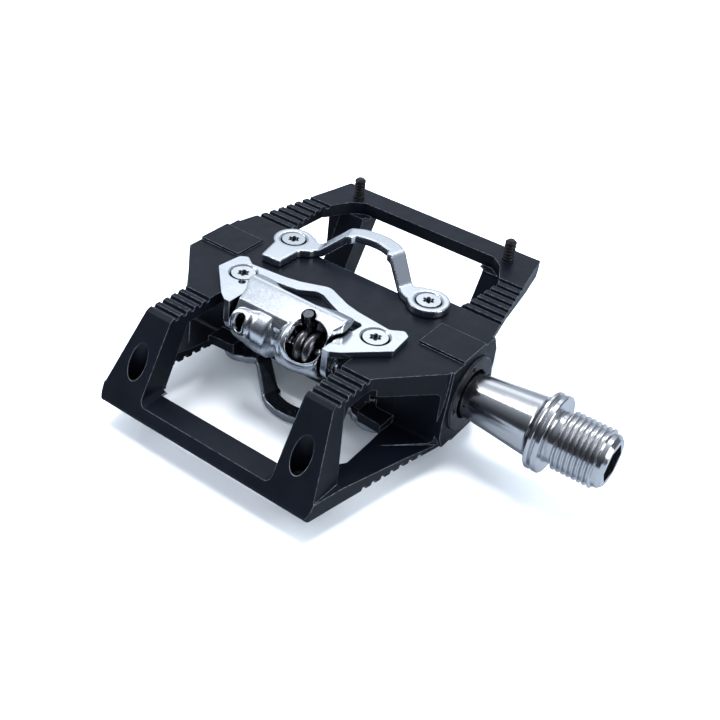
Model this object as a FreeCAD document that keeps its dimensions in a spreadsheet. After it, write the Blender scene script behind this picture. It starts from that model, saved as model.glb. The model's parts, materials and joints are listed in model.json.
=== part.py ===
import FreeCAD, Part
import math
import os
import Sketcher

# Clipless pedal, left-hand side.  +X runs along the axle towards the crank, +Y is forward and
# +Z is up.  The origin is on the axle's axis at the flange face that seats on the crank arm.
# Every piece is drawn about the pedal's own mid plane and then placed at -stance along X.
# The pedal looks the same after half a turn about the axle, so both faces hold one binding.

V = FreeCAD.Vector
X_AXIS = V(1, 0, 0)
Y_AXIS = V(0, 1, 0)
Z_AXIS = V(0, 0, 1)

# ------------------------------------------------------------------ driving dimensions (mm, deg)
SIZES = [
    ("stance", 62.0, "pedal mid plane to the flange face"),
    ("half_length", 49.5, "axle to the front or rear end of the body"),
    ("half_height", 10.8, "axle to the flat top or bottom of the body"),
    ("hub_half_width", 39.4, "mid plane to either end of the hub"),
    ("hub_half_depth", 10.9, "axle to the front or rear wall of the hub"),
    ("bar_thick", 3.5, "end bar, measured up from the flat"),
    ("bar_depth", 8.2, "end bar, front to back"),
    ("rail_in_top", 19.3, "short chord, inner side"),
    ("rail_out_top", 26.9, "short chord, outer side"),
    ("rail_in_low", 27.9, "long chord, inner side"),
    ("pad_rise", 0.7, "raised pads over the hub's ends"),
    ("plate_thick", 1.6, "sheet of the rear plate"),
    ("hoop_thick", 2.1, "sheet of the front hoop"),
    ("screw_spread_rear", 19.6, "mid plane to a rear plate screw"),
    ("screw_spread_front", 20.6, "mid plane to a front hoop screw"),
    ("screw_setback_rear", 11.5, "axle to a rear plate screw"),
    ("screw_setback_front", 9.1, "axle to a front hoop screw"),
    ("screw_head_radius", 3.0, "countersunk head"),
    ("countersink_radius", 3.7, "countersink at the sheet's top face"),
    ("screw_shank_radius", 2.0, "M4 shank"),
    ("screw_length", 7.0, "under the plate's top face"),
    ("claw_axis_back", 19.5, "axle to the claw's hinge, rearwards"),
    ("claw_axis_up", 7.0, "axle to the claw's hinge, upwards"),
    ("claw_pin_radius", 1.5, "hinge pin"),
    ("claw_half_width", 12.8, "mid plane to the claw's side"),
    ("running_gap", 0.06, "radial clearance of a running fit"),
    ("pin_spread", 24.0, "mid plane to a traction pin"),
    ("pin_setback", 42.7, "axle to a traction pin"),
    ("pin_radius", 1.55, "traction pin shank"),
    ("pin_height", 5.9, "traction pin above the flat"),
    ("pin_head_radius", 2.2, "traction pin head in its counterbore"),
    ("thread_radius", 7.14, "9/16 inch crank thread, over the crests"),
    ("thread_pitch", 1.27, "20 threads to the inch"),
    ("thread_depth", 0.7, "crest to root"),
    ("flange_radius", 9.4, "flange that seats on the crank"),
    ("hex_across_flats", 8.0, "hex socket in the axle's crank end"),
    ("collar_radius", 9.4, "bearing collar flange"),
    ("collar_sleeve_radius", 8.2, "bearing collar sleeve in the hub"),
    ("cap_radius", 8.6, "end cap"),
    ("journal_radius", 5.5, "axle in the inboard bush"),
    ("bearing_bore_radius", 4.0, "8 x 16 x 5 ball bearing, bore"),
    ("bearing_outer_radius", 8.0, "8 x 16 x 5 ball bearing, outside"),
    ("bearing_width", 5.0, "8 x 16 x 5 ball bearing, width"),
    ("bearing_out", -26.0, "ball bearing's inboard face, from the mid plane"),
    ("ball_radius", 1.2, "bearing ball"),
    ("spring_wire_radius", 1.2, "torsion spring wire"),
    ("spring_coil_radius", 3.3, "torsion spring, centre of the wire"),
]

doc = FreeCAD.newDocument("clipless_pedal")
sheet = doc.addObject("Spreadsheet::Sheet", "Sizes")
for row, (alias, value, note) in enumerate(SIZES, start=1):
    sheet.set(f"A{row}", note)
    sheet.set(f"B{row}", str(value))
    sheet.setAlias(f"B{row}", alias)
doc.recompute()


def size(alias):
    """One driving dimension, as a number."""
    return float(sheet.get(alias))


STANCE = size("stance")
HALF_LENGTH = size("half_length")
FLAT = size("half_height")
HUB_X = size("hub_half_width")
HUB_Y = size("hub_half_depth")
PLATE_TOP = FLAT + size("plate_thick")
CLAW_Y = -size("claw_axis_back")
CLAW_Z = size("claw_axis_up")
GAP = size("running_gap")
NODES = []


# ------------------------------------------------------------------ drawing helpers
def rounded(points, closed=True):
    """Edges through (u, v, radius) corners: straight runs joined by tangent arcs."""
    count = len(points)
    corners = []
    for i, (u, v, *rest) in enumerate(points):
        radius = rest[0] if rest else 0.0
        here = V(u, v, 0)
        before = V(*points[i - 1][:2], 0)
        after = V(*points[(i + 1) % count][:2], 0)
        to_before = (before - here).normalize()
        to_after = (after - here).normalize()
        if radius <= 0:
            corners.append((here, None, here))
            continue
        half = to_before.getAngle(to_after) / 2
        reach = radius / math.tan(half)
        bisector = (to_before + to_after).normalize()
        middle = here + bisector * (radius / math.sin(half) - radius)
        corners.append((here + to_before * reach, middle, here + to_after * reach))
    edges = []
    for i, (start, middle, end) in enumerate(corners):
        if middle is not None:
            edges.append(Part.Arc(start, middle, end))
        follow = corners[(i + 1) % count][0]
        if (follow - end).Length > 1e-6:
            edges.append(Part.LineSegment(end, follow))
    return edges


def circle(u, v, radius):
    return [Part.Circle(V(u, v, 0), Z_AXIS, radius)]


def mirrored(points):
    """The right half of an outline, from front to back, closed by its mirror image."""
    left = [(-p[0], *p[1:]) for p in reversed(points) if abs(p[0]) > 1e-9]
    return list(points) + left


def box_points(u0, v0, u1, v1, radius=0.0):
    return [(u0, v0, radius), (u1, v0, radius), (u1, v1, radius), (u0, v1, radius)]


def face_of(loops, plane):
    """A flat face from loops of edges drawn in a plane: XY, XZ or YZ."""
    turn = {
        "XY": FreeCAD.Matrix(),
        "XZ": FreeCAD.Matrix(1, 0, 0, 0, 0, 0, -1, 0, 0, 1, 0, 0, 0, 0, 0, 1),
        "YZ": FreeCAD.Matrix(0, 0, 1, 0, 1, 0, 0, 0, 0, 1, 0, 0, 0, 0, 0, 1),
    }[plane]
    wires = [Part.Wire([edge.toShape() for edge in loop]) for loop in loops]
    face = Part.Face(wires, "Part::FaceMakerBullseye")
    return face.transformGeometry(turn) if plane != "XY" else face


def slab(loops, plane, start, end):
    """A prism between two positions along the plane's normal axis."""
    axis = {"XY": Z_AXIS, "XZ": Y_AXIS, "YZ": X_AXIS}[plane]
    face = face_of(loops, plane)
    face.translate(axis * start)
    return face.extrude(axis * (end - start))


def both_sides(shape):
    """A shape and its mirror image in the mid plane."""
    return shape.fuse(shape.mirror(V(0, 0, 0), X_AXIS))


def half_turn(shape):
    """A copy turned half a turn about the axle."""
    copy = shape.copy()
    copy.rotate(V(0, 0, 0), X_AXIS, 180)
    return copy


def rod(radius, start, end, axis=X_AXIS, at=V(0, 0, 0)):
    return Part.makeCylinder(radius, end - start, at + axis * start, axis)


def place(obj, turn=0.0):
    """Put an object at the pedal's place on the axle, turned about the axle if asked."""
    obj.Placement = FreeCAD.Placement(V(-STANCE, 0, 0), FreeCAD.Rotation(X_AXIS, turn))
    obj.setExpression("Placement.Base.x", "-Sizes.stance")
    NODES.append(obj)
    return obj


def feature(label, shape, turn=0.0):
    """A sub-part whose shape is set straight from the sheet's sizes."""
    obj = doc.addObject("Part::Feature", label)
    obj.Label = label
    obj.Shape = shape
    return place(obj, turn)


def new_body(label):
    body = doc.addObject("PartDesign::Body", label)
    body.Label = label
    return body


def origin_part(body, role):
    return next(f for f in body.Origin.OriginFeatures if f.Role == role)


def sketch_on(body, role, loops, offset="0"):
    sketch = body.newObject("Sketcher::SketchObject", body.Name + "_sketch")
    sketch.AttachmentSupport = [(origin_part(body, role), "")]
    sketch.MapMode = "FlatFace"
    sketch.setExpression("AttachmentOffset.Base.z", offset)
    for loop in loops:
        for edge in loop:
            sketch.addGeometry(edge, False)
    sketch.Visibility = False
    return sketch


def pad(body, role, loops, length, offset="0", backwards=False):
    """Add material from a sketch; length and offset are expressions on the sheet."""
    sketch = sketch_on(body, role, loops, offset)
    step = body.newObject("PartDesign::Pad", body.Name + "_pad")
    step.Profile = sketch
    step.setExpression("Length", length)
    step.Reversed = backwards
    doc.recompute()
    return step


def pocket(body, role, loops, length, offset="0", backwards=False):
    """Cut along the sketch's normal, or against it, and make sure that it cut something."""
    before = body.Shape.Volume
    sketch = sketch_on(body, role, loops, offset)
    step = body.newObject("PartDesign::Pocket", body.Name + "_pocket")
    step.Profile = sketch
    step.setExpression("Length", length)
    step.Reversed = not backwards
    doc.recompute()
    if body.Shape.Volume >= before - 1e-6:
        raise RuntimeError(f"{body.Label}: a pocket cut nothing")
    return step


def revolve(body, role, loop, axis_role):
    sketch = sketch_on(body, role, [loop])
    step = body.newObject("PartDesign::Revolution", body.Name + "_turned")
    step.Profile = sketch
    step.ReferenceAxis = (origin_part(body, axis_role), [""])
    step.Angle = 360
    doc.recompute()
    return step


# ------------------------------------------------------------------ pedal body
SHORT_CHORD_GROOVES = [-24.4 - 2.55 * i for i in range(5)]
LONG_CHORD_GROOVES = [15.3 + 2.85 * i for i in range(7)]
KNEE_Y = -36.7
KNEE_Z = 10.2
ARM_TOP = (-31.0, 7.6)
ARM_FOOT = (-38.6, -6.6)
ARM_TRIM = (-32.0, FLAT + 1)
COLLAR_END = 26.9
CAP_INNER = -36.0


def side_profile():
    """Side view of the whole body: a leaning parallelogram with a small flat at each knee."""
    knee_flat = KNEE_Y + 1.0
    half = [
        (-HALF_LENGTH, -FLAT, 0.8),
        (KNEE_Y, KNEE_Z),
        (knee_flat, FLAT),
    ]
    return half + [(-y, -z, *rest) for y, z, *rest in half]


def plan_outline():
    """Top view of the widest outline: hub ends, tapering rails and rounded end corners."""
    front = [
        (30.6, HALF_LENGTH, 2.2),
        (32.0, 42.0),
        (33.8, 33.0),
        (36.2, 20.5),
        (38.2, 12.0),
        (HUB_X, 6.0),
    ]
    right = front + [(x, -y, *rest) for x, y, *rest in reversed(front)]
    return mirrored(right)


def short_side_trim():
    """What is cut away beside the two short chords and their arms, above the ledge."""
    outer = HUB_X + 6
    rail = size("rail_out_top")
    beside = slab([rounded([
        (rail, -HALF_LENGTH - 2),
        (rail, -23.2, 2.5),
        (HUB_X + 0.8, -8.4),
        (outer, -8.4),
        (outer, -HALF_LENGTH - 2),
    ])], "XY", -FLAT - 1, FLAT + 1)
    above_ledge = slab([rounded([
        ARM_FOOT, (-21.0, -8.6), (-6.0, -10.2), (-6.0, FLAT + 1), ARM_TRIM,
    ])], "YZ", rail - 1, outer)
    return beside.common(above_ledge)


def arm_wedge():
    """The sliver outside an arm's outer face, which leans out towards the ledge."""
    rail = size("rail_out_top")
    slope = 0.235
    foot = ARM_FOOT[1]
    high = FLAT + 1
    wedge = Part.makePolygon([
        V(rail - slope * (high - KNEE_Z), 0, high), V(rail + slope * (KNEE_Z - foot), 0, foot),
        V(HUB_X, 0, foot), V(HUB_X, 0, high), V(rail - slope * (high - KNEE_Z), 0, high)])
    shape = Part.Face(wedge).extrude(V(0, HALF_LENGTH - 24, 0))
    shape.translate(V(0, -HALF_LENGTH - 1, 0))
    return shape


def side_pocket():
    """The dark hollow between the flare above and the ledge below, back to the side wall."""
    return slab([rounded([
        (ARM_FOOT[0], ARM_FOOT[1], 0.6),
        (-21.0, -8.6, 3.0),
        (-HUB_Y, -9.2, 1.0),
        (-HUB_Y, 5.2, 1.2),
        (-21.5, 5.6, 3.0),
        (-25.5, ARM_TOP[1], 2.0),
        (ARM_TOP[0], ARM_TOP[1], 1.0),
    ])], "YZ", size("rail_out_top") - 0.3, HUB_X + 6)


def side_opening():
    """The triangular hole through a side wall, between the arm, the ledge's rim and the hub."""
    return slab([rounded([
        (-37.0, -4.3, 0.8),
        (-19.6, -5.0, 1.6),
        (-21.6, 0.5, 2.0),
        (-30.6, 6.6, 1.0),
    ])], "YZ", size("rail_in_top") - 2, HUB_X)


def end_window():
    """The large window behind the short end: narrow between the arms, wider under the chords."""
    narrow = size("rail_in_top")
    wide = size("rail_in_low")
    bar_top = -FLAT + size("bar_thick")
    bar_inner = -HALF_LENGTH + size("bar_depth") + 1.5
    between_chords = slab([rounded(box_points(-narrow, -HALF_LENGTH - 9, narrow, -HUB_Y, 2.0))],
                          "XY", bar_top, FLAT + 1)
    between_arms = slab([rounded(box_points(-narrow, bar_top, narrow, FLAT + 9, 1.6))],
                        "XZ", -HALF_LENGTH - 1, bar_inner)
    over_bar = slab([rounded(box_points(-narrow, bar_inner, narrow, -HUB_Y, 1.2))],
                    "XY", -FLAT - 1, bar_top + 1)
    low_right = [
        (8.0, -6.4, 4.0),
        (14.2, -8.6, 2.0),
        (15.2, -13.2, 3.0),
        (20.0, -15.4, 3.0),
        (26.6, -15.8, 1.2),
        (wide, -31.0),
        (24.0, -38.6, 1.5),
        (20.6, -HALF_LENGTH + size("bar_depth"), 1.0),
    ]
    through_flat = slab([rounded(mirrored(low_right))], "XY", -FLAT - 1, bar_top)
    under_chords = slab([rounded(box_points(-wide, ARM_TOP[0] - 8, wide, -HUB_Y, 1.5))],
                        "XY", bar_top - 0.01, ARM_TOP[1])
    behind_arms = slab([rounded([
        ARM_TOP, ARM_FOOT, (ARM_FOOT[0] - 0.8, -FLAT), (-5, -FLAT), (-5, ARM_TOP[1]),
    ])], "YZ", -HUB_X, HUB_X)
    cut = between_chords.common(slab([rounded([
        (bar_inner - 0.01, -FLAT), (bar_inner - 0.01, FLAT + 2), (0, FLAT + 2), (0, -FLAT)])],
        "YZ", -HUB_X, HUB_X))
    return cut.fuse([between_arms, over_bar, through_flat, under_chords.common(behind_arms)])


def grooves():
    """Cross grooves that give grip: five over the short chords, seven over the long ones."""
    cuts = []
    for y in SHORT_CHORD_GROOVES + LONG_CHORD_GROOVES:
        tooth = rounded([(y - 0.75, FLAT + 0.5), (y - 0.35, FLAT - 0.85, 0.2),
                         (y + 0.45, FLAT - 0.85, 0.2), (y + 1.0, FLAT + 0.5)])
        cuts.append(slab([tooth], "YZ", -HUB_X, HUB_X))
    return Part.makeCompound(cuts)


def hub():
    """The axle housing: a nearly square block whose walls lean like the body's ends."""
    half = [(-9.2, FLAT), (9.2, FLAT), (HUB_Y, 7.0), (HUB_Y, 3.0), (9.6, -5.5)]
    section = half + [(-y, -z) for y, z in half]
    housing = slab([rounded(section)], "YZ", -HUB_X, HUB_X)
    bosses = []
    for x in (-1, 1):
        bosses.append(rod(3.7, 3.4, FLAT, Z_AXIS,
                          V(x * size("screw_spread_rear"), -size("screw_setback_rear"), 0)))
    bosses = Part.makeCompound(bosses)
    return housing.fuse(bosses).fuse(half_turn(bosses))


def axle_bores():
    """Stepped bore along the axle: collar seat, sleeve, clearance, ball bearing and end cap."""
    return [
        rod(size("collar_radius") + 0.05, HUB_X - 1.0, HUB_X + 1),
        rod(size("collar_sleeve_radius"), COLLAR_END, HUB_X),
        rod(6.2, size("bearing_out") - 0.5, COLLAR_END + 0.5),
        rod(size("bearing_outer_radius"), CAP_INNER - 0.5, size("bearing_out")),
        rod(size("cap_radius"), -HUB_X - 1, CAP_INNER),
    ]


def fastener_holes():
    """Tapped holes for the plate and hoop screws, and the traction pins' holes."""
    holes = []
    bar = FLAT - size("bar_thick")
    for x in (-1, 1):
        rear = V(x * size("screw_spread_rear"), -size("screw_setback_rear"), 0)
        front = V(x * size("screw_spread_front"), size("screw_setback_front"), 0)
        for spot in (rear, front):
            holes.append(rod(size("screw_shank_radius"), PLATE_TOP - size("screw_length") - 0.5,
                             FLAT + 1, Z_AXIS, spot))
        pin = V(x * size("pin_spread"), size("pin_setback"), 0)
        holes.append(rod(size("pin_radius"), bar - 1, FLAT + 1, Z_AXIS, pin))
        holes.append(rod(size("pin_head_radius") + 0.2, -FLAT, bar, Z_AXIS, pin))
    holes = Part.makeCompound(holes)
    return [holes, half_turn(holes)]


def pedal_body():
    block = slab([rounded(side_profile())], "YZ", -HUB_X, HUB_X)
    body = block.common(slab([rounded(plan_outline())], "XY", -FLAT - 1, FLAT + 1))
    for cut in [both_sides(short_side_trim()), both_sides(arm_wedge()), both_sides(side_pocket()),
                both_sides(side_opening()), end_window(), grooves()]:
        body = body.cut(cut).cut(half_turn(cut))
    rise = slab([rounded(box_points(27.2, -4.8, HUB_X, 4.8))], "XY",
                FLAT - 0.5, FLAT + size("pad_rise"))
    rise = both_sides(rise)
    body = body.fuse([hub(), rise, half_turn(rise)])
    for cut in axle_bores() + fastener_holes():
        body = body.cut(cut)
    return body


# ------------------------------------------------------------------ axle and bearings
THREADS = 8
THREAD_START = 64.6
AXLE_END = 75.9
BEARING_IN = size("bearing_out") - size("bearing_width")
BEARING_MID = size("bearing_out") - size("bearing_width") / 2
PITCH_RADIUS = (size("bearing_bore_radius") + size("bearing_outer_radius")) / 2
BALLS = 8
FLANGE = size("flange_radius")


def thread_profile():
    """One crest ring for each turn of the thread, as (x, radius) corners."""
    crest = size("thread_radius")
    root = crest - size("thread_depth")
    corners = []
    for i in range(THREADS):
        x = THREAD_START + size("thread_pitch") * i
        corners += [(x - 0.44, root), (x - 0.14, crest), (x + 0.14, crest), (x + 0.44, root)]
    return corners


def hexagon(across_flats):
    reach = across_flats / 2 / math.cos(math.pi / 6)
    turns = [math.radians(60 * i) for i in range(6)]
    return [(reach * math.cos(t), reach * math.sin(t)) for t in turns]


def axle():
    journal = size("journal_radius")
    seat = size("bearing_bore_radius")
    stance = STANCE
    outline = [
        (-35.9, 0), (-35.9, seat - 0.4), (-35.5, seat), (size("bearing_out"), seat),
        (size("bearing_out"), 4.6), (20, 4.6), (24, journal), (40.8, journal),
        (58.1, 7.4, 1.2), (stance - 3.2, 9.1), (stance - 2.9, FLANGE), (stance - 2.3, FLANGE),
        (stance - 2.05, 9.15), (stance - 2.0, 8.3), (stance - 1.45, 8.3), (stance - 1.4, 9.15),
        (stance - 1.15, FLANGE), (stance - 0.25, FLANGE), (stance, 9.15),
        (stance, 6.6), (stance + 0.4, 6.2), (THREAD_START - 0.7, 6.2),
    ]
    outline += thread_profile()
    outline += [(AXLE_END - 0.9, 6.44), (AXLE_END, 5.6), (AXLE_END, 0)]
    body = new_body("axle")
    revolve(body, "XY_Plane", rounded(outline), "X_Axis")
    pocket(body, "YZ_Plane", [rounded(hexagon(size("hex_across_flats")))], "7.5",
           f"Sizes.stance + {AXLE_END - stance}", backwards=True)
    return place(body)


def turned(label, corners):
    """A piece turned about the axle from its (x, radius) corners."""
    body = new_body(label)
    revolve(body, "XY_Plane", rounded(corners), "X_Axis")
    return place(body)


def bearing_collar():
    outside = size("collar_radius")
    sleeve = size("collar_sleeve_radius")
    body = new_body("bearing_collar")
    revolve(body, "XY_Plane", rounded([
        (27.0, 6.9), (27.0, sleeve), (38.4, sleeve), (38.4, outside), (39.9, outside),
        (40.2, outside - 0.3), (40.2, 6.4), (40.0, 6.2), (39.2, 6.2), (39.2, 6.9)]), "X_Axis")
    holes = []
    for i in range(4):
        turn = math.radians(7.5 + 90 * i)
        holes.append(circle(7.5 * math.cos(turn), 7.5 * math.sin(turn), 0.7))
    pocket(body, "YZ_Plane", holes, "1.0", "40.2", backwards=True)
    return place(body)


def race(label, inner, outer, groove_inside):
    """A bearing ring with a ball groove in its inner or its outer face."""
    groove = size("ball_radius") + 0.03
    wall = inner if groove_inside else outer
    half = math.sqrt(groove ** 2 - (wall - PITCH_RADIUS) ** 2)
    sign = 1 if groove_inside else -1
    deepest = V(BEARING_MID, PITCH_RADIUS + sign * groove, 0)
    x0, x1 = BEARING_IN, size("bearing_out")
    left = V(BEARING_MID - half, wall, 0)
    right = V(BEARING_MID + half, wall, 0)
    far = outer if groove_inside else inner
    loop = [
        Part.LineSegment(V(x0, far, 0), V(x0, wall, 0)),
        Part.LineSegment(V(x0, wall, 0), left),
        Part.Arc(left, deepest, right),
        Part.LineSegment(right, V(x1, wall, 0)),
        Part.LineSegment(V(x1, wall, 0), V(x1, far, 0)),
        Part.LineSegment(V(x1, far, 0), V(x0, far, 0)),
    ]
    body = new_body(label)
    revolve(body, "XY_Plane", loop, "X_Axis")
    return place(body)


def ball_centres():
    turns = [2 * math.pi * i / BALLS for i in range(BALLS)]
    return [V(BEARING_MID, PITCH_RADIUS * math.cos(t), PITCH_RADIUS * math.sin(t)) for t in turns]


def ring(inner, outer, start, end):
    return rod(outer, start, end).cut(rod(inner, start - 1, end + 1))


def bearing_fillings():
    """The balls, the cage between them and the two thin shields."""
    radius = size("ball_radius")
    balls = [Part.makeSphere(radius, c) for c in ball_centres()]
    feature("bearing_balls", Part.makeCompound(balls))
    cage = ring(5.5, 6.5, BEARING_MID - 1.6, BEARING_MID + 1.6)
    cage = cage.cut(Part.makeCompound([Part.makeSphere(radius + 0.06, c) for c in ball_centres()]))
    feature("bearing_cage", cage)
    outer = size("bearing_out")
    shields = [ring(5.3, 6.88, BEARING_IN + 0.1, BEARING_IN + 0.4),
               ring(5.3, 6.88, outer - 0.4, outer - 0.1)]
    feature("bearing_shields", Part.makeCompound(shields))


def lock_nut():
    body = new_body("lock_nut")
    loops = [rounded(hexagon(10.0)), circle(0, 0, size("bearing_bore_radius"))]
    pad(body, "YZ_Plane", loops, "3.6", "-35.4")
    return place(body)


def end_cap():
    edge = size("cap_radius") - 0.02
    body = new_body("end_cap")
    revolve(body, "XY_Plane", rounded([
        (-39.7, 0), (-39.7, edge - 0.4), (-39.3, edge), (-38.95, edge), (-38.95, 7.7),
        (-37.95, 7.7), (-37.95, edge), (-36.3, edge), (-36.3, 6.2), (-37.1, 5.8),
        (-37.1, 0)]), "X_Axis")
    pocket(body, "YZ_Plane", [rounded(hexagon(6.0))], "1.8", "-39.7")
    return place(body)


def axle_parts():
    axle()
    bearing_collar()
    turned("axle_seal", [(37.1, 5.55), (37.1, 6.9), (39.2, 6.9), (39.2, 6.5), (37.9, 6.3),
                         (37.9, 6.0), (39.0, 5.8), (39.1, 5.55)])
    turned("inboard_bush", [(27.0, 5.55), (27.0, 6.9), (37.0, 6.9), (37.0, 5.55)])
    race("bearing_outer_race", 6.9, size("bearing_outer_radius"), True)
    race("bearing_inner_race", size("bearing_bore_radius"), 5.1, False)
    bearing_fillings()
    turned("thrust_washer", [(-31.8, 4.0), (-31.8, 5.05), (BEARING_IN, 5.05), (BEARING_IN, 4.0)])
    lock_nut()
    end_cap()
    torus = Part.makeTorus(8.14, 0.43, V(-38.45, 0, 0), X_AXIS)
    feature("cap_o_ring", torus)


# ------------------------------------------------------------------ pins and screws
def turned_solid(corners, at):
    """A solid turned about a vertical line from its (radius, z) corners."""
    loop = [edge.toShape() for edge in rounded(corners)]
    face = Part.Face(Part.Wire(loop)).transformGeometry(
        FreeCAD.Matrix(1, 0, 0, 0, 0, 0, -1, 0, 0, 1, 0, 0, 0, 0, 0, 1))
    solid = face.revolve(V(0, 0, 0), Z_AXIS, 360)
    solid.translate(at)
    return solid


def pair_and_turned(make, spread, y):
    """Two copies either side of the mid plane, and the same two after half a turn."""
    two = Part.makeCompound([make(V(x * spread, y, 0)) for x in (-1, 1)])
    return Part.makeCompound(two.Solids + half_turn(two).Solids)


def traction_pin(at):
    shank = size("pin_radius") - 0.05
    bar = FLAT - size("bar_thick")
    top = FLAT + size("pin_height")
    corners = [(0, bar - 1.5), (size("pin_head_radius") - 0.3, bar - 1.5),
               (size("pin_head_radius"), bar - 1.2), (size("pin_head_radius"), bar), (shank, bar)]
    z = FLAT + 0.6
    while z < top - 1.2:
        corners += [(shank, z), (shank - 0.2, z + 0.2), (shank - 0.2, z + 0.45), (shank, z + 0.65)]
        z += 0.9
    corners += [(shank, top - 0.6), (shank - 0.6, top), (0, top)]
    pin = turned_solid(corners, at)
    hexa = Part.Face(Part.Wire([e.toShape() for e in rounded(hexagon(2.0))])).extrude(V(0, 0, 1.0))
    hexa.translate(at + V(0, 0, bar - 1.5))
    return pin.cut(hexa)


def six_lobes(at, depth):
    """A six-lobed driver recess."""
    tools = [rod(1.1, -depth, 1, Z_AXIS, at)]
    for i in range(6):
        turn = math.radians(60 * i)
        tools.append(rod(0.36, -depth, 1, Z_AXIS,
                         at + V(1.12 * math.cos(turn), 1.12 * math.sin(turn), 0)))
    return tools[0].fuse(tools[1:])


def screw(at, top):
    head = size("screw_head_radius")
    shank = size("screw_shank_radius") - 0.05
    corners = [(0, top - 0.15), (head, top - 0.15), (head, top - 0.4),
               (shank, top - 0.4 - (head - shank)), (shank, top - size("screw_length")),
               (shank - 0.5, top - size("screw_length") - 0.4),
               (0, top - size("screw_length") - 0.4)]
    return turned_solid(corners, at).cut(six_lobes(at + V(0, 0, top), 1.3))


def countersink(at, top):
    """The tool for a countersunk hole, from above the sheet down through it."""
    mouth = size("countersink_radius")
    hole = size("screw_shank_radius") + 0.1
    cone = mouth - hole
    return turned_solid([(0, top + 1), (mouth, top + 1), (mouth, top),
                         (hole, top - cone * 0.85), (hole, FLAT - 3), (0, FLAT - 3)], at)


def small_parts():
    feature("traction_pins", pair_and_turned(traction_pin, size("pin_spread"),
                                             size("pin_setback")))
    hoop_top = FLAT + size("hoop_thick")
    feature("hoop_screws", pair_and_turned(lambda at: screw(at, hoop_top),
                                           size("screw_spread_front"),
                                           size("screw_setback_front")))
    feature("plate_screws", pair_and_turned(lambda at: screw(at, PLATE_TOP),
                                            size("screw_spread_rear"),
                                            -size("screw_setback_rear")))


# ------------------------------------------------------------------ bindings
FOLD_TURN = 16.8
LEG_X = 5.2
LEG_FOOT = (-16.1, 7.4)
LEG_TIP = (-17.9, 15.0)


def hoop_sheet():
    """Right half of the hoop's bent sheet: level foot, a leg that rises inwards, level front."""
    thick = size("hoop_thick")
    low = FLAT + thick
    top = low + 5.0
    step = thick * math.tan(math.radians(19))
    profile = [
        (-40.0, top - thick), (-40.0, top), (2.93, top, 2.0), (9.28, low, 1.2), (40.0, low),
        (40.0, FLAT), (9.28 - step, FLAT, 2.4), (2.93 - step, top - thick, 0.8),
    ]
    sheet_bend = slab([rounded(profile)], "XZ", -30, 40)
    sheet_bend.rotate(V(0, 0, 0), Z_AXIS, -FOLD_TURN)
    return sheet_bend.common(Part.makeBox(60, 80, 20, V(0, -20, 0)))


def hoop_strip():
    """Top view of the strip that runs from foot to foot round the front."""
    half = [
        (14.9, 11.7, 0.8), (8.2, 16.7, 2.0), (5.4, 18.5, 3.0), (0.0, 20.0, 12.0),
    ]
    inner = [
        (0.0, 15.5, 10.0), (4.9, 14.1, 0.4), (5.5, 12.5, 0.3), (6.2, 12.3, 0.3), (6.7, 12.4, 0.3),
        (12.3, 8.7), (13.6, 7.4, 1.2), (17.6, 5.6),
    ]
    right = [(19.4, 13.6)] + [(16.6, 13.2, 1.5)] + half
    left = [(-x, y, *r) for x, y, *r in reversed(right) if x > 0]
    left_in = [(-x, y, *r) for x, y, *r in reversed(inner) if x > 0]
    return right + left + left_in + inner


def hoop_tab():
    """Top view of the tab that points rearwards from the outboard foot."""
    return [
        (-21.6, -2.6, 0.6), (-16.0, -2.2, 0.6), (-15.8, 5.2, 1.6), (-13.7, 6.7, 0.8),
        (-12.5, 9.0), (-16.0, 11.4), (-25.0, 10.0), (-23.2, 4.4, 2.0),
    ]


def front_hoop():
    sheet_bend = both_sides(hoop_sheet())
    plan = slab([rounded(hoop_strip())], "XY", FLAT - 1, FLAT + 9)
    feet = [rod(5.2, FLAT - 1, FLAT + 9, Z_AXIS,
                V(x * size("screw_spread_front"), size("screw_setback_front"), 0))
            for x in (-1, 1)]
    plan = plan.fuse(feet + [slab([rounded(hoop_tab())], "XY", FLAT - 1, FLAT + 9)])
    hoop = sheet_bend.common(plan)
    for x in (-1, 1):
        spot = V(x * size("screw_spread_front"), size("screw_setback_front"), 0)
        hoop = hoop.cut(countersink(spot, FLAT + size("hoop_thick")))
    return hoop.removeSplitter()


def plate_outline():
    """Top view of the rear plate: a bar in front of the claw and two legs beside it."""
    return [
        (0.0, -2.3, 3.0), (7.1, -5.3, 4.0), (11.0, -6.2, 3.0), (20.5, -7.2, 1.5),
        (23.4, -5.2, 0.8), (25.2, -6.4, 1.0), (25.9, -13.4, 1.0), (17.5, -21.8, 1.5),
        (15.2, -23.4, 0.8), (13.5, -23.4), (13.5, -14.0), (14.6, -13.4, 0.5),
        (15.0, -9.6, 1.2), (8.4, -9.6, 2.0), (4.4, -7.9, 2.0), (0.5, -6.0, 1.2),
        (-1.4, -6.0, 1.2), (-5.2, -8.5, 2.0), (-10.6, -9.4, 2.0), (-15.0, -9.6, 1.2),
        (-14.6, -13.4, 0.5), (-13.5, -14.0), (-13.5, -23.4), (-15.2, -23.4, 0.8),
        (-17.5, -21.8, 1.5), (-25.9, -13.4, 1.0), (-25.2, -6.4, 1.0), (-23.4, -5.2, 0.8),
        (-20.5, -7.2, 1.5), (-11.0, -6.2, 3.0), (-7.1, -5.3, 4.0),
    ]


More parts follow.
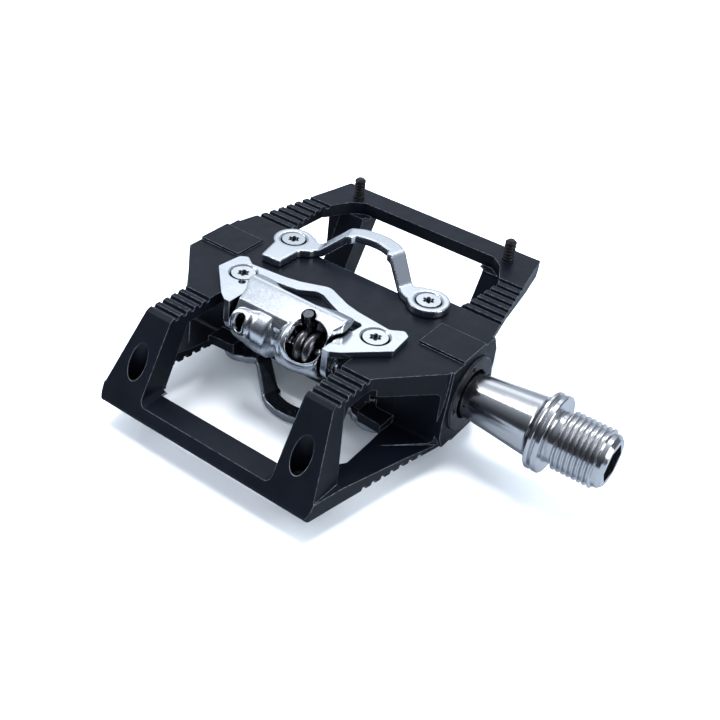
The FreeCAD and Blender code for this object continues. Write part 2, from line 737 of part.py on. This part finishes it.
def rear_plate():
    flat = slab([rounded(plate_outline())], "XY", FLAT, PLATE_TOP)
    low = CLAW_Z - 4.2
    ear = slab([rounded([
        (-14.6, PLATE_TOP), (-23.4, PLATE_TOP), (CLAW_Y - 4.3, low, 4.2),
        (CLAW_Y + 4.3, low, 4.2),
    ])], "YZ", 13.5, 13.5 + size("plate_thick"))
    plate = flat.fuse(both_sides(ear)).removeSplitter()
    for x in (-1, 1):
        spot = V(x * size("screw_spread_rear"), -size("screw_setback_rear"), 0)
        plate = plate.cut(countersink(spot, PLATE_TOP))
    plate = plate.cut(rod(0.9, FLAT - 1, PLATE_TOP + 1, Z_AXIS, V(-17.0, -15.0, 0)))
    hole = rod(size("claw_pin_radius") + 0.01, -20, 20, X_AXIS, V(0, CLAW_Y, CLAW_Z))
    return plate.cut(hole)


def about_pivot(corners):
    """A solid turned about the claw's hinge from its (x, radius) corners."""
    loop = [edge.toShape() for edge in rounded(corners)]
    solid = Part.Face(Part.Wire(loop)).revolve(V(0, 0, 0), X_AXIS, 360)
    solid.translate(V(0, CLAW_Y, CLAW_Z))
    return solid


def claw_lobe(swell=0.0):
    """One barrel round the hinge that holds a spring; it tapers to its outer end."""
    half = size("claw_half_width")
    lobe = about_pivot([
        (-0.01, 0), (-0.01, 4.2 + swell), (0.4, 4.2 + swell, 0.4), (2.0, 6.1 + swell, 1.0),
        (5.4, 6.1 + swell, 0.8), (half, 4.9 + swell, 0.8), (half, 0)])
    lobe.translate(V(0, 0, -0.4))
    return lobe


def claw_lip():
    """The claw's jaw: it leans forwards over the hinge and hooks over the cleat."""
    half = size("claw_half_width")
    side = slab([rounded([
        (-11.9, 13.4, 0.3), (-11.9, 14.7, 0.5), (-15.0, 15.8, 2.5), (-21.2, 12.9, 0.4),
        (-22.8, 10.4, 1.0), (-21.0, 8.0), (-15.6, 8.6, 1.0), (-14.2, 12.6, 0.6),
    ])], "YZ", -half - 2, half + 2)
    top = slab([rounded(mirrored([
        (5.6, -14.4, 4.0), (9.4, -11.8, 1.8), (13.9, -11.8, 0.8), (14.0, -16.4, 0.6),
        (half, -18.4, 1.0), (half - 0.6, -25.0, 2.0),
    ]))], "XY", 0, 20)
    jaw = side.common(top)
    wing_gap = slab([rounded(box_points(half, 0, half + 4, 12.9))], "XZ", -30, 0)
    return jaw.cut(both_sides(wing_gap))


def along_leg(radius, beyond=0.0):
    """A rod along the spring's visible leg."""
    foot = V(LEG_X, *LEG_FOOT)
    way = V(LEG_X, *LEG_TIP) - foot
    length = way.Length + beyond
    return Part.makeCylinder(radius, length, foot, way.normalize())


def window_tool(outwards, tip, low, high, wide):
    """A prism for a spring chamber's oval window, which faces up, rearwards and outwards."""
    tool = slab([rounded(box_points(-wide, low, wide, high, wide - 0.1))], "XY", 2, 16)
    tool.rotate(V(0, 0, 0), Y_AXIS, outwards)
    tool.rotate(V(0, 0, 0), X_AXIS, tip)
    tool.translate(V(4.9, CLAW_Y, CLAW_Z))
    return tool


def claw():
    """The claw: two spring barrels under one jaw, with the wider window on the crank's side."""
    rim = 1.2
    swollen = claw_lobe(0.5)
    wide_rim = window_tool(33, 44, -4.2 - rim, 6.2, 4.0 + rim).common(swollen)
    narrow_rim = window_tool(41, 69, -2.2 - rim, 2.2 + rim, 1.4 + rim).common(swollen)
    narrow_rim = narrow_rim.mirror(V(0, 0, 0), X_AXIS)
    solid = both_sides(claw_lobe()).fuse([claw_lip(), wide_rim, narrow_rim])
    chamber = about_pivot([(3.2, 0), (3.2, 4.6), (11.4, 4.6), (11.4, 0)])
    narrow = window_tool(41, 69, -2.2, 2.2, 1.4).mirror(V(0, 0, 0), X_AXIS)
    leg_slot = along_leg(size("spring_wire_radius") + 0.45, 3.0)
    for cut in (both_sides(chamber), window_tool(33, 44, -4.2, 6.2, 4.0), narrow, leg_slot):
        solid = solid.cut(cut)
    bore = size("claw_pin_radius") + GAP
    return solid.cut(rod(bore, -20, 20, X_AXIS, V(0, CLAW_Y, CLAW_Z)))


def claw_pin():
    """The hinge pin with a retaining clip on each end."""
    radius = size("claw_pin_radius")
    end = 13.5 + size("plate_thick") + 1.0
    pin = about_pivot([(-end, 0), (-end, radius - 0.3), (-end + 0.3, radius), (end - 0.3, radius),
                       (end, radius - 0.3), (end, 0)])
    clip = about_pivot([(end - 0.9, 0), (end - 0.9, 2.5), (end - 0.4, 2.5), (end - 0.4, 0)])
    return pin.fuse(both_sides(clip)).removeSplitter()


def claw_spring():
    """Two torsion coils round the hinge; a leg comes up through the inboard window."""
    wire = size("spring_wire_radius")
    mean = size("spring_coil_radius")
    pitch = 2 * wire + 0.1
    helix = Part.makeHelix(pitch, pitch * 1.9, mean)
    helix.rotate(V(0, 0, 0), Y_AXIS, 90)
    edge = helix.Edges[0]
    start = edge.valueAt(edge.FirstParameter)
    helix.rotate(V(0, 0, 0), X_AXIS, -math.degrees(math.atan2(start.z, start.y)) + 11)
    edge = helix.Edges[0]
    start = edge.valueAt(edge.FirstParameter)
    way = edge.tangentAt(edge.FirstParameter)
    section = Part.Wire(Part.Circle(start, way, wire).toShape())
    coil = Part.Wire(helix.Edges).makePipeShell([section], True, True)
    coil.translate(V(LEG_X, CLAW_Y, CLAW_Z))
    spring = coil.fuse(along_leg(wire))
    return Part.makeCompound(spring.Solids + coil.mirror(V(0, 0, 0), X_AXIS).Solids)


def bindings():
    for label, make in [("front_hoop", front_hoop), ("rear_plate", rear_plate), ("claw", claw),
                        ("claw_pin", claw_pin), ("claw_spring", claw_spring)]:
        shape = make()
        feature(label + "_top", shape)
        feature(label + "_bottom", shape, 180)


# ------------------------------------------------------------------ the whole pedal
def export():
    """Recompute, make sure that every sub-part is sound, and write one STEP file each."""
    doc.recompute()
    for obj in doc.Objects:
        if "Invalid" in obj.State or "Error" in obj.State:
            raise RuntimeError(f"{obj.Label}: {obj.State}")
    os.makedirs("parts", exist_ok=True)
    for obj in NODES:
        shape = obj.Shape
        if shape.isNull() or not shape.isValid() or not shape.Solids:
            raise RuntimeError(f"{obj.Label}: the shape is not a valid solid")
        shape.exportStep(f"parts/{obj.Label}.step")


feature("pedal_body", pedal_body())
axle_parts()
small_parts()
bindings()
export()
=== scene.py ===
"""Clipless pedal: finishes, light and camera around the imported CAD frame. Metres."""

import json
import math

import bpy
from mathutils import Matrix, Vector


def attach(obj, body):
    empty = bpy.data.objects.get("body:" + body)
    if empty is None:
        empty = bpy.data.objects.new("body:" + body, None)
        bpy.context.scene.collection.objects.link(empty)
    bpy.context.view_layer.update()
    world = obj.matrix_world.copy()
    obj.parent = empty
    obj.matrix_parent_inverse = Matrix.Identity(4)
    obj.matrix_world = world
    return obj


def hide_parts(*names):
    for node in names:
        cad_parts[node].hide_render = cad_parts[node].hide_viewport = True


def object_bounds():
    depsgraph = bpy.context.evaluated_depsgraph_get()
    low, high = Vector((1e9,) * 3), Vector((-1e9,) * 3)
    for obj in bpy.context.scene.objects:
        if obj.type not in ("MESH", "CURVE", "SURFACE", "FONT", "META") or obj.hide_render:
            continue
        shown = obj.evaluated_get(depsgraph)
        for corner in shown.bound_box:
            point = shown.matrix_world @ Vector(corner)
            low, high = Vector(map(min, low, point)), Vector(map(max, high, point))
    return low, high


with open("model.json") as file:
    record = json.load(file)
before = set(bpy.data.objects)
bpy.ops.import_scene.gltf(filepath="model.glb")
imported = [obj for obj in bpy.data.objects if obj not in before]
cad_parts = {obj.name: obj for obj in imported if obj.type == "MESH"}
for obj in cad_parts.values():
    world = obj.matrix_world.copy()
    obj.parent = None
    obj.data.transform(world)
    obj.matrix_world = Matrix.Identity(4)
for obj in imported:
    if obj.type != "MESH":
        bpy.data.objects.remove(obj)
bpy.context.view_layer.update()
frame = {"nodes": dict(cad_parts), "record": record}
nodes = frame["nodes"]


# ---------------------------------------------------------------- materials

RAYS = 6  # rays that each bevel or occlusion node sends
EDGE_LEAN = (0.03, 0.22)  # where edge wear and painted highlight start and are full, in one minus the normals' cosine
ANODISED_EDGE = 0.00034  # how wide a rounded edge each finish shows
BLACKENED_EDGE = 0.0002
TURNED_EDGE = 0.00018
PLATED_EDGE = 0.00022
RECESS_SHADE_REACH = 0.0014  # recesses this wide get painted shade, a darker colour, in a bright plate


def scaled(tone, *factors):
    """A colour with each channel times its factor, or all times the one factor."""
    return tuple(c * f for c, f in zip(tone, factors * (3 // len(factors))))


class Shader:
    """A material's node tree, with short ways to add the nodes that the finishes share."""

    def __init__(self, name):
        self.material = bpy.data.materials.new(name)
        self.material.use_nodes = True
        self.tree = self.material.node_tree
        self.bsdf = self.tree.nodes["Principled BSDF"]
        self.place = self.add("ShaderNodeTexCoord").outputs["Object"]

    def add(self, kind, **settings):
        node = self.tree.nodes.new(kind)
        for key, value in settings.items():
            setattr(node, key, value)
        return node

    def link(self, source, socket):
        self.tree.links.new(source, socket)

    def noise(self, scale, detail=3.0, stretch=None, rough=0.55):
        """Noise of so many cells to the metre, stretched by a scale along each axis."""
        where = self.place
        if stretch:
            mapping = self.add("ShaderNodeMapping")
            mapping.inputs["Scale"].default_value = stretch
            self.link(where, mapping.inputs["Vector"])
            where = mapping.outputs["Vector"]
        node = self.add("ShaderNodeTexNoise")
        node.inputs["Scale"].default_value = scale
        node.inputs["Detail"].default_value = detail
        node.inputs["Roughness"].default_value = rough
        self.link(where, node.inputs["Vector"])
        return node.outputs["Fac"]

    def grade(self, value, low, high, to_low, to_high):
        """A value between low and high, turned into one between two others, and held there."""
        node = self.add("ShaderNodeMapRange")
        for key, number in zip(
            ("From Min", "From Max", "To Min", "To Max"), (low, high, to_low, to_high)
        ):
            node.inputs[key].default_value = number
        self.link(value, node.inputs["Value"])
        return node.outputs["Result"]

    def combine(self, operation, first, second):
        node = self.add("ShaderNodeMath", operation=operation)
        for socket, value in zip(node.inputs, (first, second)):
            if isinstance(value, (int, float)):
                socket.default_value = value
            else:
                self.link(value, socket)
        return node.outputs["Value"]

    def mix(self, factor, first, second):
        node = self.add("ShaderNodeMix", data_type="RGBA")
        self.link(factor, node.inputs["Factor"])
        for socket, colour in ((node.inputs[6], first), (node.inputs[7], second)):
            if isinstance(colour, tuple):
                socket.default_value = (*colour, 1)
            else:
                self.link(colour, socket)
        return node.outputs[2]

    def rounded(self, radius):
        """The surface's normal, as if its edges were rounded to a radius."""
        bevel = self.add("ShaderNodeBevel", samples=RAYS)
        bevel.inputs["Radius"].default_value = radius
        return bevel.outputs["Normal"]

    def edges(self, rounded):
        """One along sharp edges and nothing on flat ground, by how far the normal leans."""
        true = self.add("ShaderNodeNewGeometry").outputs["True Normal"]
        lean = self.add("ShaderNodeVectorMath", operation="DOT_PRODUCT")
        self.link(rounded, lean.inputs[0])
        self.link(true, lean.inputs[1])
        off = self.combine("SUBTRACT", 1.0, lean.outputs["Value"])
        return self.grade(off, *EDGE_LEAN, 0.0, 1.0)

    def painted_recess_shade(self, reach):
        """One in the open and nothing deep in a recess no wider than the reach: the mask for
        painted shade in recesses.
        """
        node = self.add("ShaderNodeAmbientOcclusion", samples=RAYS)
        node.inputs["Distance"].default_value = reach
        return self.grade(node.outputs["AO"], 0.25, 0.75, 0.0, 1.0)

    def bump(self, height, strength, distance, normal=None):
        node = self.add("ShaderNodeBump")
        node.inputs["Strength"].default_value = strength
        node.inputs["Distance"].default_value = distance
        self.link(height, node.inputs["Height"])
        if normal:
            self.link(normal, node.inputs["Normal"])
        self.link(node.outputs["Normal"], self.bsdf.inputs["Normal"])

    def set(self, **values):
        for key, value in values.items():
            socket = self.bsdf.inputs[key.replace("_", " ")]
            if isinstance(value, (int, float, tuple)):
                socket.default_value = value
            else:
                self.link(value, socket)


def anodised(name, tone, rough, worn_and_highlight_tone):
    """Black anodised alloy: a fine blasted grain, slightly uneven dye, and thin lighter edges,
    partly polished wear and partly painted highlight.
    """
    s = Shader(name)
    rounded = s.rounded(ANODISED_EDGE)
    broken = s.grade(s.noise(900, 4), 0.35, 0.62, 0.15, 0.8)
    # edge wear and painted highlight: every sharp edge lighter and more metallic, broken up by
    # noise
    wear_and_highlight = s.combine("MULTIPLY", s.edges(rounded), broken)
    patchy = s.mix(s.grade(s.noise(45, 3), 0.3, 0.7, 0.0, 1.0), tone, scaled(tone, 1.45))
    s.set(
        Base_Color=s.mix(wear_and_highlight, patchy, worn_and_highlight_tone),
        Metallic=s.combine("MULTIPLY", wear_and_highlight, 0.8),
        Roughness=s.combine(
            "SUBTRACT",
            s.grade(s.noise(260, 5), 0.3, 0.7, rough - 0.05, rough + 0.07),
            s.combine("MULTIPLY", wear_and_highlight, 0.12),
        ),
        Specular_IOR_Level=0.34,
    )
    s.bump(s.noise(9500, 2), 0.16, 0.00003, rounded)
    return s.material


def blackened(name, tone, rough):
    """Blackened steel: an oily, mottled oxide with bright edges, partly worn steel and partly
    painted highlight.
    """
    s = Shader(name)
    rounded = s.rounded(BLACKENED_EDGE)
    broken = s.grade(s.noise(1600, 4), 0.45, 0.65, 0.0, 0.8)
    # edge wear and painted highlight: every sharp edge lighter and more metallic, broken up by
    # noise
    wear_and_highlight = s.combine("MULTIPLY", s.edges(rounded), broken)
    mottled = s.mix(s.grade(s.noise(700, 4), 0.35, 0.65, 0.0, 1.0), tone, scaled(tone, 2.0))
    s.set(
        Base_Color=s.mix(wear_and_highlight, mottled, (0.34, 0.34, 0.35)),
        Metallic=s.grade(wear_and_highlight, 0.0, 1.0, 0.35, 1.0),
        Roughness=s.grade(s.noise(1200, 4), 0.3, 0.7, rough - 0.08, rough + 0.1),
    )
    s.bump(s.noise(7000, 3), 0.2, 0.00003, rounded)
    return s.material


def turned(name, tone, rough, depth):
    """Metal off a lathe: fine rings round X, of uneven depth, over a clean bright ground."""
    s = Shader(name)
    rings = s.noise(5200, 2, stretch=(1.0, 0.015, 0.015))
    coarse = s.noise(900, 2, stretch=(1.0, 0.02, 0.02))
    handling = s.noise(150, 4)
    s.set(
        Base_Color=s.mix(s.grade(handling, 0.35, 0.7, 0.0, 1.0), tone, scaled(tone, 0.88)),
        Metallic=1.0,
        Roughness=s.combine(
            "ADD",
            s.grade(rings, 0.3, 0.7, rough - 0.03, rough + 0.04),
            s.grade(handling, 0.45, 0.75, 0.0, 0.06),
        ),
    )
    s.bump(s.combine("ADD", rings, coarse), depth, 0.00002, s.rounded(TURNED_EDGE))
    return s.material


def plated(name, tone, rough, wave, grain):
    """Bright nickel or zinc plate on slightly wavy steel: faint scuffs, and painted shade that
    darkens the recesses.
    """
    s = Shader(name)
    scuffs = s.noise(1500, 3, stretch=(0.25, 1.0, 1.0))
    film = s.noise(120, 4)
    bright = s.mix(
        s.grade(film, 0.3, 0.7, 0.0, 1.0), tone, scaled(tone, 0.92, 0.935, 0.955)
    )
    s.set(
        # painted shade: recesses darkened towards an eighth of the plate's tone by the occlusion
        # mask
        Base_Color=s.mix(s.painted_recess_shade(RECESS_SHADE_REACH), scaled(tone, 0.12), bright),
        Metallic=1.0,
        Roughness=s.combine(
            "ADD",
            s.grade(film, 0.3, 0.7, rough - 0.02, rough + 0.04),
            s.grade(scuffs, 0.55, 0.75, 0.0, 0.07),
        ),
    )
    relief = s.combine(
        "ADD",
        s.combine("MULTIPLY", s.noise(420, 2), wave),
        s.combine("MULTIPLY", s.noise(5200, 3), grain),
    )
    s.bump(relief, 0.5, 0.00004, s.rounded(PLATED_EDGE))
    return s.material


def moulded(name, tone, rough, grain):
    """Rubber or filled polymer: matt, faintly speckled, with a fine moulded skin."""
    s = Shader(name)
    speckle = s.grade(s.noise(2600, 3), 0.4, 0.65, 0.0, 1.0)
    s.set(
        Base_Color=s.mix(speckle, tone, scaled(tone, 1.5)),
        Roughness=s.grade(s.noise(600, 3), 0.3, 0.7, rough - 0.07, rough + 0.07),
    )
    s.bump(s.noise(grain, 3), 0.25, 0.00004)
    return s.material


finishes = {
    "anodised_body": anodised("anodised_body", (0.0032, 0.0045, 0.008), 0.4, (0.4, 0.43, 0.48)),
    "black_alloy": anodised("black_alloy", (0.005, 0.0055, 0.007), 0.32, (0.3, 0.31, 0.33)),
    "black_steel": blackened("black_steel", (0.012, 0.012, 0.013), 0.38),
    "axle_steel": turned("axle_steel", (0.74, 0.74, 0.75), 0.15, 0.18),
    "collar_alloy": anodised("collar_alloy", (0.006, 0.007, 0.009), 0.3, (0.4, 0.42, 0.45)),
    "seal_rubber": moulded("seal_rubber", (0.014, 0.014, 0.014), 0.62, 5000),
    "bush_polymer": moulded("bush_polymer", (0.11, 0.1, 0.095), 0.5, 7000),
    "bearing_steel": turned("bearing_steel", (0.7, 0.7, 0.72), 0.12, 0.08),
    "cage_polymer": moulded("cage_polymer", (0.42, 0.33, 0.2), 0.45, 6000),
    "zinc_steel": plated("zinc_steel", (0.76, 0.78, 0.8), 0.18, 0.4, 0.2),
    "spring_steel": turned("spring_steel", (0.3, 0.3, 0.31), 0.24, 0.1),
    "bright_plate": plated("bright_plate", (0.8, 0.82, 0.85), 0.2, 0.5, 0.3),
    "bright_claw": plated("bright_claw", (0.8, 0.82, 0.85), 0.22, 1.2, 0.5),
}

for part in frame["record"]["subparts"]:
    for name in part.get("nodes", [part.get("node")]):
        mesh = nodes[name].data
        mesh.materials.clear()
        mesh.materials.append(finishes[part["material_slot"]])


# ---------------------------------------------------------------- cast and pressed pieces

CAST = (0.00016, 16)  # voxel, and rounds of smoothing
PRESSED = (0.00018, 12)


def rounded_copy(name, body, slot, voxel, rounds):
    """A copy of a CAD piece, with edges as soft as a casting's or a pressing's, in its place."""
    thing = nodes[name].copy()
    thing.data = nodes[name].data.copy()
    thing.name = name + "_rounded"
    thing.data.name = thing.name
    for key in list(thing.keys()):
        del thing[key]
    bpy.context.collection.objects.link(thing)
    thing.data.materials.clear()
    thing.data.materials.append(finishes[slot])
    remesh = thing.modifiers.new("remesh", "REMESH")
    remesh.mode = "VOXEL"
    remesh.voxel_size = voxel
    remesh.use_smooth_shade = True
    smooth = thing.modifiers.new("smooth", "SMOOTH")
    smooth.factor = 0.5
    smooth.iterations = rounds
    graph = bpy.context.evaluated_depsgraph_get()
    mesh = bpy.data.meshes.new_from_object(thing.evaluated_get(graph))
    thing.modifiers.clear()
    thing.data = mesh
    mesh.name = thing.name
    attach(thing, body)
    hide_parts(name)


for side in ("top", "bottom"):
    rounded_copy(f"claw_{side}", f"{side}_claw", "bright_claw", *CAST)
    rounded_copy(f"front_hoop_{side}", "platform", "bright_plate", *PRESSED)


# ---------------------------------------------------------------- floor, light, camera

FLOOR_GAP = 0.0002
FLOOR_HALF = 3.0
PAPER = ((0.84, 0.87, 0.91), (0.86, 0.885, 0.92))
PAPER_IN_METAL = (0.24, 0.27, 0.31)  # what bright and dark metal mirror of the floor
LOW_FILLS = 4

low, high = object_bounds()
middle = (low + high) / 2


def floor_material():
    """White paper, with a darker look in reflections, as the dark sides of the body need."""
    s = Shader("studio_floor")
    paper = s.mix(s.grade(s.noise(6, 3), 0.3, 0.7, 0.0, 1.0), *PAPER)
    mirrored = s.add("ShaderNodeLightPath").outputs["Is Glossy Ray"]
    s.set(
        Base_Color=s.mix(mirrored, paper, PAPER_IN_METAL),
        Roughness=s.grade(s.noise(900, 3), 0.3, 0.7, 0.5, 0.62),
        Specular_IOR_Level=0.2,
    )
    s.bump(s.noise(3000, 2), 0.05, 0.00002)
    return s.material


def sheet(name, half, z):
    """A level square of so much half width at height z."""
    mesh = bpy.data.meshes.new(name)
    mesh.from_pydata(
        [(-half, -half, z), (half, -half, z), (half, half, z), (-half, half, z)],
        [],
        [(0, 1, 2, 3)],
    )
    thing = bpy.data.objects.new(name, mesh)
    bpy.context.collection.objects.link(thing)
    return thing


floor = sheet("studio_floor", FLOOR_HALF, low.z - FLOOR_GAP)
floor.data.materials.append(floor_material())


def light(name, kind, direction, strength, colour):
    """A light that shines along a direction."""
    thing = bpy.data.objects.new(name, bpy.data.lights.new(name, kind))
    thing.data.energy = strength
    thing.data.color = colour
    thing.rotation_euler = Vector(direction).to_track_quat("-Z", "Y").to_euler()
    bpy.context.collection.objects.link(thing)
    return thing


def softbox(name, place, size, power, colour):
    """An oblong of light that faces the pedal, and that the bright metal mirrors."""
    thing = light(name, "AREA", middle - Vector(place), power, colour)
    thing.location = place
    thing.data.shape = "RECTANGLE"
    thing.data.size, thing.data.size_y = size


def sun(name, direction, strength, spread, colour):
    """Broad light on matt surfaces alone, so that it leaves no hot spot in the bright metal."""
    thing = light(name, "SUN", direction, strength, colour)
    thing.data.angle = math.radians(spread)
    thing.visible_glossy = False


sun("overhead_sun", (0.02, -0.06, -1), 3.3, 26, (1.0, 0.995, 0.99))
for step in range(LOW_FILLS):
    bearing = math.radians(360 / LOW_FILLS * step + 30)
    toward = (math.cos(bearing), math.sin(bearing), -0.42)
    sun(f"low_fill_{step}", toward, 1.7, 60, (0.88, 0.94, 1.0))

white, cool = (1, 1, 1), (0.97, 0.985, 1.0)
softbox("back_softbox", (-0.42, 0.62, 0.6), (0.5, 0.3), 0.25, cool)
softbox("strip_softbox", (-0.3, 0.12, 0.8), (1.0, 0.1), 1.3, white)
softbox("right_softbox", (0.8, 0.1, 0.35), (0.4, 0.7), 2.5, cool)
softbox("left_softbox", (-0.75, -0.3, 0.5), (0.35, 0.4), 0.8, cool)

SKY_BRIGHT = (-0.45, 0.5, 0.75)  # towards the sky's brightest part
SKY = (
    (0.0, (0.05, 0.055, 0.065)),
    (0.3, (0.16, 0.175, 0.2)),
    (0.7, (0.34, 0.38, 0.44)),
    (1.0, (0.56, 0.62, 0.7)),
)

world = bpy.data.worlds.new("studio")
world.use_nodes = True
tree = world.node_tree
background = tree.nodes["Background"]
where = tree.nodes.new("ShaderNodeTexCoord")
lean = tree.nodes.new("ShaderNodeVectorMath")
lean.operation = "DOT_PRODUCT"
lean.inputs[1].default_value = Vector(SKY_BRIGHT).normalized()
ramp = tree.nodes.new("ShaderNodeValToRGB")
tree.links.new(where.outputs["Generated"], lean.inputs[0])
tree.links.new(lean.outputs["Value"], ramp.inputs["Fac"])
tree.links.new(ramp.outputs["Color"], background.inputs["Color"])
stops = ramp.color_ramp.elements
for position, _ in SKY[1:-1]:
    stops.new(position)
for stop, (_, colour) in zip(stops, SKY):
    stop.color = (*colour, 1)
background.inputs["Strength"].default_value = 1.0
bpy.context.scene.world = world

# the view that fits the photo: where the camera is, and its right and backward directions
CAMERA_PLACE = (0.0535, -0.17047, 0.14227)
CAMERA_RIGHT = (0.808, 0.5825, 0.0891)
CAMERA_BACK = (0.4265, -0.6825, 0.5936)
CAMERA_LENS = 50.34  # mm, on a sensor 36 mm wide

camera = bpy.data.objects.new("camera", bpy.data.cameras.new("camera"))
right = Vector(CAMERA_RIGHT).normalized()
back = Vector(CAMERA_BACK).normalized()
up = back.cross(right).normalized()
right = up.cross(back)
turn = Matrix((right, up, back)).transposed().to_4x4()
turn.translation = CAMERA_PLACE
camera.matrix_world = turn
camera.data.lens = CAMERA_LENS
camera.data.sensor_width = 36
camera.data.clip_start = 0.01
bpy.context.collection.objects.link(camera)
bpy.context.scene.camera = camera
bpy.context.scene.view_settings.view_transform = "Standard"
bpy.context.scene.view_settings.look = "Medium High Contrast"
